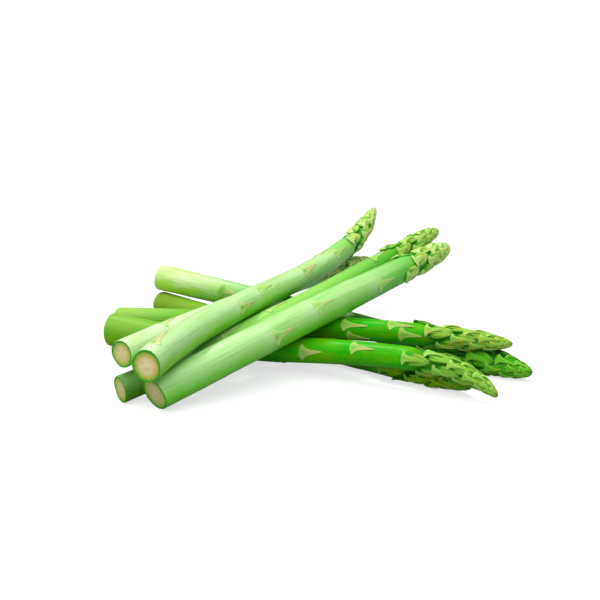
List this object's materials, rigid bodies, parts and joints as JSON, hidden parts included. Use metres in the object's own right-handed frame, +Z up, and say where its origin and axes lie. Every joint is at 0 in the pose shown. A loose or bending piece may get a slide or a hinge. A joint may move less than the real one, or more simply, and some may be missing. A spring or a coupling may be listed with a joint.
{
  "type": "bundle of asparagus",
  "caption": "Loose bundle of fresh green asparagus spears lying in two crossing groups, for kitchen, market and food scenes.",
  "frame": {"origin": "on the table, under the middle of the bundle's bounding box", "axes": "+Z up from the table, +X towards the tips of the four lower spears, +Y away from the viewer, towards the tips of the four upper spears"},
  "size_m": [0.2235, 0.2014, 0.0532],
  "materials": {
    "skin_pale": "waxy satin",
    "skin_deep": "waxy satin"
  },
  "bodies": {
    "root": {"spear_front": "skin_pale", "spear_middle": "skin_pale", "spear_top": "skin_pale", "spear_back": "skin_pale", "spear_low_front": "skin_deep", "spear_low_middle": "skin_deep", "spear_low_back": "skin_deep", "spear_low_under": "skin_deep"}
  },
  "joints": []
}
